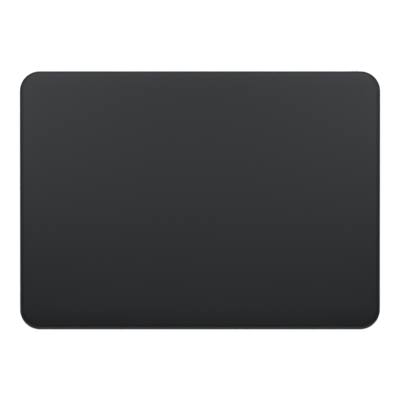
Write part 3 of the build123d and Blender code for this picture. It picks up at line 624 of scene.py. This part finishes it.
def mesh_piece(name, points, faces, *finishes):
    """A smooth mesh object from points in millimetres."""
    mesh = bpy.data.meshes.new(name)
    mesh.from_pydata([tuple(c * MM for c in p) for p in points], [], faces)
    shaped = bmesh.new()
    shaped.from_mesh(mesh)
    bmesh.ops.recalc_face_normals(shaped, faces=shaped.faces)
    shaped.to_mesh(mesh)
    shaped.free()
    for finish in finishes:
        mesh.materials.append(finish)
    mesh.shade_smooth()
    mesh.set_sharp_from_angle(angle=SHARP_ANGLE)
    piece = bpy.data.objects.new(name, mesh)
    bpy.context.scene.collection.objects.link(piece)
    return piece


def rides(piece, body, slot, *stands_for):
    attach(piece, body)
    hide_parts(*stands_for)


def bends(piece, first, second, start, end, slot, *stands_for):
    """Bakes the piece's placement into its mesh and hides the solids that it stands for. The
    bodies first and second, the points start and end (in mm) and the slot are not used.
    """
    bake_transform(piece)
    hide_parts(*stands_for)


def rounded_outline(width, depth, radius, inset, steps):
    """Points round a rounded rectangle, moved inwards by inset."""
    smallest_turn = 0.02
    turn = max(radius - inset, smallest_turn)
    points = []
    for quarter, (sx, sy) in enumerate(((1, 1), (-1, 1), (-1, -1), (1, -1))):
        centre_x = sx * (width / 2 - radius)
        centre_y = sy * (depth / 2 - radius)
        for step in range(steps + 1):
            angle = (quarter + step / steps) * pi / 2
            points.append((centre_x + turn * cos(angle), centre_y + turn * sin(angle)))
    return points


def skin(rings, first=0, looped=False):
    """Points and faces of a closed skin through rings of equally many points. Its ends are
    faces, or where it is looped, the last ring joins the first. Its points are numbered from
    first on."""
    count = len(rings[0])
    points = [p for ring in rings for p in ring]
    faces = []
    levels = len(rings) if looped else len(rings) - 1
    for level in range(levels):
        low = first + level * count
        high = first + (level + 1) % len(rings) * count
        for step in range(count):
            after = (step + 1) % count
            faces.append((low + step, low + after, high + after, high + step))
    if not looped:
        last = first + (len(rings) - 1) * count
        faces.append(tuple(range(first + count - 1, first - 1, -1)))
        faces.append(tuple(range(last, last + count)))
    return points, faces


def joined_skins(skins):
    """Several ring lists as the points and faces of one mesh."""
    points, faces = [], []
    for rings, looped in skins:
        more_points, more_faces = skin(rings, len(points), looped)
        points += more_points
        faces += more_faces
    return points, faces


def touch_glass():
    """The glass: a flat face whose margin falls very slightly, an edge that rolls off as a
    quarter of an ellipse, and a fine chamfer round its back. Each stage is an inset from the
    outline and a depth below the face. The outline is the one that the photograph shows, a
    little smaller than the solid's."""
    depth, corner_radius, corner_steps = DEPTH - 0.24, CORNER_RADIUS - 0.1, 32
    edge_reach, edge_depth, edge_steps = 1.8, 0.55, 18
    margin_reach, margin_depth, margin_steps = 9.0, 0.10, 12
    back_chamfer = 0.12

    def margin(inset):
        return margin_depth * (1 - inset / margin_reach) ** 2

    stages = [(back_chamfer, GLASS_THICKNESS), (0.0, GLASS_THICKNESS - back_chamfer)]
    for step in range(edge_steps + 1):
        angle = step / edge_steps * pi / 2
        inset = edge_reach * (1 - cos(angle))
        stages.append((inset, edge_depth * (1 - sin(angle)) + margin(inset)))
    for step in range(1, margin_steps + 1):
        inset = edge_reach + (margin_reach - edge_reach) * step / margin_steps
        stages.append((inset, margin(inset)))
    rings = []
    for inset, drop in stages:
        outline = rounded_outline(WIDTH, depth, corner_radius, inset, corner_steps)
        rings.append([(x, y, height_at(y, drop)) for x, y in outline])
    piece = mesh_piece("touch_glass", *skin(rings), black_glass)
    rides(piece, "touch_plate", "black_glass", "glass_top")


def rubber_foot(corner):
    """A foot: flat in its pocket, with a generous moulded round and a faintly dished face."""
    low, high = box_of(f"{corner}_foot")
    centre = (low + high) / 2
    radius = (high.x - low.x) / 2
    flat_share, round_height, round_steps, around_steps = 0.86, 0.42, 8, 64
    dish = ((0.30, 0.06), (0.55, 0.05), (0.70, 0.015), (0.76, 0.0), (flat_share, 0.0))
    profile = [(share * radius, rise) for share, rise in dish]
    flat_radius = flat_share * radius
    for step in range(1, round_steps + 1):
        angle = step / round_steps * pi / 2
        reach = flat_radius + (radius - flat_radius) * sin(angle)
        profile.append((reach, round_height * (1 - cos(angle))))
    profile.append((radius, high.z))
    around = [2 * pi * step / around_steps for step in range(around_steps)]
    rings = [
        [(centre.x + r * cos(a), centre.y + r * sin(a), z) for a in around] for r, z in profile
    ]
    piece = mesh_piece(f"{corner}_rubber_foot", *skin(rings), foot_rubber)
    rides(piece, "housing", "foot_rubber", f"{corner}_foot")


def gel_cushion(corner):
    """A gel pad whose sides bulge between the leaf spring and the touch plate."""
    low, high = box_of(f"{corner}_gel_pad")
    centre = (low + high) / 2
    size = high.x - low.x
    thickness = (SPRING_TOP_DROP - GEL_TOP_DROP) * SLOPE_LENGTH
    corner_radius, corner_steps = 1.2, 8
    bulge = ((0.0, 0.14), (0.12, 0.05), (0.3, 0.01), (0.7, 0.01), (0.88, 0.05), (1.0, 0.14))
    rings = []
    for share, inset in bulge:
        drop = SPRING_TOP_DROP + share * (GEL_TOP_DROP - SPRING_TOP_DROP)
        ring = []
        for x, y in rounded_outline(size, size, corner_radius, inset, corner_steps):
            place_y = centre.y + y
            ring.append((centre.x + x, place_y, height_at(place_y, drop)))
        rings.append(ring)
    piece = mesh_piece(f"{corner}_gel_cushion", *skin(rings), clear_gel)
    bottom = (centre.x, centre.y, height_at(centre.y, SPRING_TOP_DROP))
    top = (centre.x, centre.y, bottom[2] + thickness)
    bends(piece, "suspension", "touch_plate", bottom, top, "gel", f"{corner}_gel_pad")


def cut_copy(node, name, places):
    """A copy of a CAD solid that is cut across at some places along X, so that it can bend."""
    mesh = nodes[node].data.copy()
    mesh.name = name
    shaped = bmesh.new()
    shaped.from_mesh(mesh)
    bmesh.ops.remove_doubles(shaped, verts=shaped.verts, dist=SEAM_DISTANCE)
    for place in places:
        bmesh.ops.bisect_plane(
            shaped,
            geom=[*shaped.verts, *shaped.edges, *shaped.faces],
            plane_co=(place * MM, 0, 0),
            plane_no=(1, 0, 0),
        )
    shaped.to_mesh(mesh)
    shaped.free()
    mesh.materials.clear()
    piece = bpy.data.objects.new(name, mesh)
    bpy.context.scene.collection.objects.link(piece)
    return piece


def settle(piece):
    """Turns a piece's modifiers into its final mesh."""
    shown = piece.evaluated_get(bpy.context.evaluated_depsgraph_get())
    mesh = bpy.data.meshes.new_from_object(shown)
    piece.modifiers.clear()
    piece.data = mesh


# The leaf springs bend along their beams, between these distances from the middle
BEAM_ROOT = 67.0
BEAM_TIP = 57.0
GAUGE_MIDDLE = 64.0


def beam_ends(corner):
    """A beam's side, where it leaves its root and where it reaches its tip."""
    side = SIDES[corner.split("_")[1]]
    low, high = box_of(f"{corner}_flexure")
    middle = (low + high) / 2
    root = (side * BEAM_ROOT, middle.y, middle.z)
    tip = (side * BEAM_TIP, middle.y, middle.z)
    return side, root, tip


def leaf_spring(corner):
    """A leaf spring: the solid, cut across its beam at each millimetre, with broken edges."""
    side, root, tip = beam_ends(corner)
    cuts = round(BEAM_ROOT - BEAM_TIP) + 1
    places = [side * (BEAM_TIP + step) for step in range(cuts)]
    piece = cut_copy(f"{corner}_flexure", f"{corner}_leaf_spring", places)
    piece.data.materials.append(spring_steel)
    break_edges(piece, 0.04, segments=1)
    settle(piece)
    piece.data.shade_smooth()
    piece.data.set_sharp_from_angle(angle=radians(40))
    bends(piece, "housing", "suspension", root, tip, "spring_steel", f"{corner}_flexure")


def foil_bar(x_low, x_high, y_low, y_high, top_drop, bottom_drop):
    """The skin of a thin bar on the tilted underside of a beam, cut across so that it can
    bend."""
    cut_length = 0.5
    cuts = max(1, round((x_high - x_low) / cut_length))
    section = (
        (y_low, top_drop),
        (y_high, top_drop),
        (y_high, bottom_drop),
        (y_low, bottom_drop),
    )
    rings = []
    for cut in range(cuts + 1):
        x = x_low + (x_high - x_low) * cut / cuts
        rings.append([(x, y, height_at(y, drop)) for y, drop in section])
    return rings, False


def foil_gauges():
    """Two strain gauges under each beam: on a film, a folded grid of foil and two pads."""
    film_length, film_width, film_from_middle = 4.0, 1.6, 1.848
    lines, line_width, line_length = 7, 0.11, 2.5
    pad_length, pad_width, pad_gap = 0.7, 0.54, 0.15
    end_margin, side_margins = 0.2, 0.3
    film_thickness, foil_thickness = 0.03, 0.03
    pitch = (film_width - side_margins) / (lines - 1)
    half_line, half_pad = line_width / 2, pad_width / 2
    film_drop = SPRING_BOTTOM_DROP + film_thickness
    foil_drop = film_drop + foil_thickness
    for corner in CORNERS:
        side, root, tip = beam_ends(corner)
        film_low = side * GAUGE_MIDDLE - film_length / 2
        film_high = side * GAUGE_MIDDLE + film_length / 2
        middles = [root[1] + half * film_from_middle for half in (-1, 1)]
        skins = []
        for middle_y in middles:
            y_low, y_high = middle_y - film_width / 2, middle_y + film_width / 2
            skins.append(
                foil_bar(film_low, film_high, y_low, y_high, SPRING_BOTTOM_DROP, film_drop)
            )
        film_faces = len(joined_skins(skins)[1])
        grid_low = film_low + end_margin
        grid_high = grid_low + line_length
        pad_low = grid_high + pad_gap
        for middle_y in middles:
            bars = []
            for line in range(lines):
                y = middle_y + (line - (lines - 1) / 2) * pitch
                bars.append((grid_low, grid_high, y - half_line, y + half_line))
                if line < lines - 1:
                    turn_x = grid_low if line % 2 else grid_high - line_width
                    bars.append(
                        (turn_x, turn_x + line_width, y + half_line, y + pitch - half_line)
                    )
            for pad in (-1, 1):
                y = middle_y + pad * (film_width / 4)
                bars.append((pad_low, pad_low + pad_length, y - half_pad, y + half_pad))
            skins += [foil_bar(*bar, film_drop, foil_drop) for bar in bars]
        piece = mesh_piece(f"{corner}_gauges", *joined_skins(skins), amber_film, copper_foil)
        for face in piece.data.polygons[film_faces:]:
            face.material_index = 1
        bends(piece, "housing", "suspension", root, tip, "copper", "strain_gauges")


def sensor_ribbon():
    """The ribbon from the main board, which turns back up to the sensor board under the touch
    plate."""
    low, high = box_of("sensor_flex")
    thickness, turn_y = 0.12, 52.25
    flat_steps, turn_steps = 6, 24
    low_z = low.z + thickness / 2
    turn_radius = (high.z - low.z - thickness) / 2
    turn_z = low_z + turn_radius
    flat_length = turn_y - low.y
    line = [(low.y + flat_length * step / flat_steps, low_z) for step in range(flat_steps)]
    for step in range(turn_steps + 1):
        angle = -pi / 2 + pi * step / turn_steps
        line.append((turn_y + turn_radius * cos(angle), turn_z + turn_radius * sin(angle)))
    for step in range(1, flat_steps + 1):
        y = turn_y - flat_length * step / flat_steps
        line.append((y, turn_z + turn_radius - (turn_y - y) * TILT))
    rings = []
    for place, (y, z) in enumerate(line):
        before = line[max(place - 1, 0)]
        after = line[min(place + 1, len(line) - 1)]
        run = Vector((after[0] - before[0], after[1] - before[1])).normalized()
        out = Vector((run.y, -run.x)) * (thickness / 2)
        section = ((low.x, 1), (low.x, -1), (high.x, -1), (high.x, 1))
        rings.append([(x, y + way * out.x, z + way * out.y) for x, way in section])
    piece = mesh_piece("sensor_ribbon", *skin(rings), amber_film)
    middle_x = (low.x + high.x) / 2
    still_height = 0.5
    start = (middle_x, low.y, low.z + still_height)
    end = (middle_x, low.y, high.z - still_height)
    bends(piece, "housing", "suspension", start, end, "flex_ribbon", "sensor_flex")


def wound_coils(name):
    """Three windings round a core's poles: each is a tube whose skin rises and falls with the
    turns of wire and leans with their lay."""
    low, high = box_of(f"{name}_coils")
    middle = (low + high) / 2
    build, pole_share, corner_steps = 0.5, 0.18, 5
    winding_width = pole_share * (high.y - low.y) + 2 * build
    winding_height = high.z - low.z
    pole_distance = (high.y - low.y - winding_width) / 2
    turns, samples, lean_share = 24, 6, 0.3
    length = high.x - low.x
    lean = lean_share * length / turns
    wire_radius = length / turns / 2

    def ring(middle_y, place, inset):
        points = []
        outline = rounded_outline(winding_width, winding_height, build, inset, corner_steps)
        for y, z in outline:
            shift = lean * 2 * y / winding_width if inset < build else 0.0
            points.append((low.x + place + shift, middle_y + y, middle.z + z))
        return points

    # From the bore at one end, over the turns, to the bore at the other end
    stages = [(lean, build)]
    for turn in range(turns):
        for sample in range(samples):
            across = (sample + 0.5) / samples * 2 - 1
            place = lean + (length - 2 * lean) * (turn + (across + 1) / 2) / turns
            stages.append((place, wire_radius * (1 - sqrt(1 - across**2))))
    stages.append((length - lean, build))
    skins = []
    for pole in (-1, 0, 1):
        middle_y = middle.y + pole * pole_distance
        skins.append(([ring(middle_y, place, inset) for place, inset in stages], True))
    piece = mesh_piece(f"{name}_wound_coils", *joined_skins(skins), copper_wire)
    piece.data.set_sharp_from_angle(angle=radians(80))
    rides(piece, "housing", "copper", f"{name}_coils")


def battery_pouch(name):
    """A pouch cell: softly crowned body, a folded seam along each side and the sealed terrace
    that carries its board."""
    low, high = box_of(f"{name}_battery_cell")
    terrace_high = box_of(f"{name}_cell_board")[0].z
    seam_room, corner_radius, corner_steps = 0.55, 1.4, 8
    terrace_thickness, terrace_length = 0.5, 3.0
    body_rear = high.y - terrace_length
    width = high.x - low.x - 2 * seam_room
    length = body_rear - low.y
    middle_x = (low.x + high.x) / 2
    middle_y = (low.y + body_rear) / 2
    # Insets from the body's outline and heights above its bottom
    profile = (
        (0.80, 0.0),
        (0.42, 0.03),
        (0.14, 0.16),
        (0.02, 0.42),
        (0.0, 0.8),
        (0.0, 2.7),
        (0.03, 3.02),
        (0.15, 3.24),
        (0.42, 3.36),
        (0.9, 3.41),
        (2.4, 3.435),
        (6.0, 3.46),
        (12.0, 3.485),
        (18.0, 3.5),
    )
    body = []
    for inset, rise in profile:
        # The crown's rings lie far in, and need corners that are larger than their insets
        turn = corner_radius if inset < 1 else inset + 0.5
        outline = rounded_outline(width, length, turn, inset, corner_steps)
        body.append([(middle_x + x, middle_y + y, low.z + rise) for x, y in outline])
    skins = [(body, False)]
    end_room = 0.6
    seam_width, seam_height, seam_overlap, seam_drop = 0.42, 2.3, 0.06, 0.2
    seam_radius, seam_corner_steps = 0.2, 4
    seam_z = (low.z + high.z) / 2 - seam_drop
    # Shares of a seam's length, and how much its section shrinks there
    seam_profile = (
        (0.0, 0.12),
        (0.004, 0.04),
        (0.012, 0.0),
        (0.988, 0.0),
        (0.996, 0.04),
        (1.0, 0.12),
    )
    for edge in (-1, 1):
        seam_x = middle_x + edge * (width / 2 + seam_room / 2 - seam_overlap)
        seam = []
        for share, shrink in seam_profile:
            y = low.y + end_room + (length - 2 * end_room) * share
            outline = rounded_outline(
                seam_width, seam_height, seam_radius, shrink, seam_corner_steps
            )
            seam.append([(seam_x + x, y, seam_z + z) for x, z in outline])
        skins.append((seam, False))
    terrace_low = terrace_high - terrace_thickness
    terrace_overlap = 0.4
    terrace_front = body_rear - terrace_overlap
    ribs, rib_height, chamfer = 52, 0.05, 0.12
    terrace = []
    for rib in range(2 * ribs + 1):
        x = low.x + end_room + (high.x - low.x - 2 * end_room) * rib / (2 * ribs)
        shrink = rib_height * (rib % 2)
        terrace.append(
            [
                (x, terrace_front, terrace_low + shrink),
                (x, terrace_front, terrace_high - shrink / 5),
                (x, high.y - chamfer, terrace_high - shrink / 5),
                (x, high.y, terrace_high - chamfer),
                (x, high.y, terrace_low + chamfer + shrink),
                (x, high.y - chamfer, terrace_low + shrink),
            ]
        )
    skins.append((terrace, False))
    piece = mesh_piece(f"{name}_battery_pouch", *joined_skins(skins), pouch_foil)
    rides(piece, "housing", "pouch", f"{name}_battery_cell")


touch_glass()
for corner in CORNERS:
    rubber_foot(corner)
    gel_cushion(corner)
    leaf_spring(corner)
foil_gauges()
sensor_ribbon()
for name in SIDES:
    wound_coils(name)
    battery_pouch(name)

# Camera straight above, far enough away that the trackpad's sides look parallel. The scale
# holds at the height of the glass's edge, and the offset is in pixels.
PICTURE_PIXELS = 400
PIXELS_PER_MM = 2.2503
PICTURE_OFFSET = 0.40
LENS = 800.0
SENSOR = 36.0
EDGE_HEIGHT = 7.45
camera_data = bpy.data.cameras.new("camera")
camera_data.lens = LENS
camera_data.sensor_width = SENSOR
camera_data.clip_start = 0.1
camera_data.clip_end = 30.0
camera = bpy.data.objects.new("camera", camera_data)
camera_distance = LENS / SENSOR * PICTURE_PIXELS / PIXELS_PER_MM * MM
camera.location = (
    0.0,
    PICTURE_OFFSET / PIXELS_PER_MM * MM,
    EDGE_HEIGHT * MM + camera_distance,
)
bpy.context.scene.collection.objects.link(camera)
bpy.context.scene.camera = camera
bpy.context.scene.view_settings.view_transform = "Standard"


# Floor and light


def studio_floor():
    """A plain pale disc that glows faintly, as a light table does, so that no hard shadow
    falls. It glows more far out, where the softboxes don't reach."""
    finish = Finish("studio_floor")
    near, far = 0.3, 2.5
    away = finish.node("VectorMath", {"operation": "LENGTH"}, {0: finish.place}, result="Value")
    outwards = finish.eased(away, near, far)
    glow = finish.mixed(outwards, (0.392, 0.396, 0.40), (0.59, 0.595, 0.60))
    finish.surface(
        finish.mixed(finish.noise(300.0), 0.59, 0.61),
        0.9,
        Specular_IOR_Level=0.0,
        Emission_Color=glow,
        Emission_Strength=1.0,
    )
    count, radius = 96, 6000.0
    turns = [2 * pi * step / count for step in range(count)]
    rim = [(radius * cos(turn), radius * sin(turn), 0.0) for turn in turns]
    mesh_piece("studio_floor", rim, [tuple(range(count))], finish.material)


def softbox(name, place, target, width, length, brightness, colour):
    """A rectangular soft light that faces a point, as bright at any size."""
    watts_per_area = 4
    data = bpy.data.lights.new(name, "AREA")
    data.shape = "RECTANGLE"
    data.size = width
    data.size_y = length
    data.energy = watts_per_area * width * length * brightness
    data.color = colour
    light = bpy.data.objects.new(name, data)
    light.location = place
    light.rotation_mode = "QUATERNION"
    light.rotation_quaternion = (Vector(target) - Vector(place)).to_track_quat("-Z", "Y")
    light.visible_camera = False
    bpy.context.scene.collection.objects.link(light)


def overhead(name, x, y, width, length, brightness, height=1.0):
    """A cool softbox that hangs level and shines straight down."""
    softbox(name, (x, y, height), (x, y, 0.0), width, length, brightness, COOL_WHITE)


def slanted(name, y, height, brightness):
    """A wide warm softbox in front or behind, which faces the middle of the floor."""
    width, length = 2.0, 0.7
    softbox(name, (0.0, y, height), (0.0, 0.0, 0.0), width, length, brightness, WARM_WHITE)


def studio_room():
    """Even light from all sides. It fades to almost none overhead and a little to the front
    of that, which is what the glass mirrors."""
    wall_light, lean, fade_start, fade_end = 1.08, 0.2, 0.82, 0.96
    world = bpy.data.worlds.new("studio")
    bpy.context.scene.world = world
    room = Surroundings(world)
    steepness = abs(room.along("Z")) - lean * room.along("Y")
    room.lit((0.975, 0.99, 1.0), wall_light - room.eased(steepness, fade_start, fade_end))


COOL_WHITE = (0.91, 0.945, 1.0)
WARM_WHITE = (1.0, 0.99, 0.975)
studio_floor()
# Places and sizes are in metres, in the order of each function's arguments
for name, side in SIDES.items():
    overhead(f"{name}_overhead", 0.15 * side, 0.11, 0.15, 0.42, 3.6)
    overhead(f"{name}_wing", 0.43 * side, 0.07, 0.28, 0.30, 2.6)
overhead("middle_overhead", 0.0, 0.015, 0.15, 0.37, 1.3)
overhead("rear_strip", 0.0, 0.21, 0.5, 0.08, 3.0, height=0.98)
overhead("front_strip", 0.0, -0.48, 0.6, 0.24, 0.5)
slanted("front_box", -1.0, 1.2, 1.15)
slanted("rear_box", 0.95, 1.1, 1.2)
studio_room()
